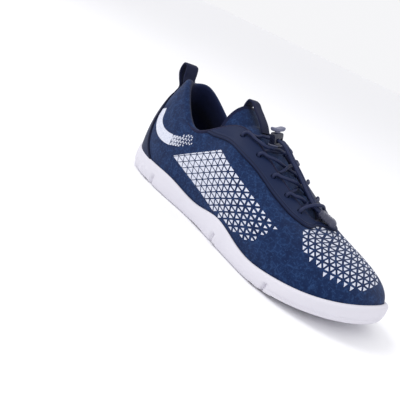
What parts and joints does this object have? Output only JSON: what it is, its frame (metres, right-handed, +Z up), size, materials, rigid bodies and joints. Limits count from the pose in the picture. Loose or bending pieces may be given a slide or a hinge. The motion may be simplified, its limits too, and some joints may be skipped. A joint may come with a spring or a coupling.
{
  "type": "barefoot shoe",
  "caption": "Right barefoot running shoe: hollow knit upper, padded collar, thin wide cup sole, elastic laces held by a cord lock.",
  "frame": {"origin": "under the middle of the sole's length and width, on the floor plane", "axes": "+X towards the toe, +Y towards the inner side of the foot, +Z up"},
  "size_m": [0.282, 0.1033, 0.1075],
  "materials": {
    "white_rubber": "matt white rubber",
    "navy_knit": "heathered navy knit with white reflective prints",
    "dark_cloth": "near-black navy cloth and webbing",
    "smooth_overlay": "smooth slate-navy synthetic overlay",
    "slate_cord": "round braided elastic cord",
    "lock_plastic": "dark smoky plastic",
    "grey_plastic": "mid-grey plastic"
  },
  "bodies": {
    "root": {"outsole": "white_rubber", "insole": "dark_cloth", "upper": "navy_knit", "collar_piping": "dark_cloth", "eyestay": "smooth_overlay", "heel_counter": "smooth_overlay", "tongue": "navy_knit", "tongue_tab": "dark_cloth", "heel_loop": "dark_cloth", "lace_crossing_1": "slate_cord", "lace_crossing_2": "slate_cord", "lace_crossing_3": "slate_cord", "lace_crossing_4": "slate_cord", "lace_bar": "slate_cord", "lace_lead_outer": "slate_cord", "lace_lead_inner": "slate_cord", "cord_lock_body": "lock_plastic", "cord_lock_button": "grey_plastic", "lace_tail_outer": "slate_cord", "lace_tail_inner": "slate_cord", "cord_end_clip": "grey_plastic"}
  },
  "joints": []
}
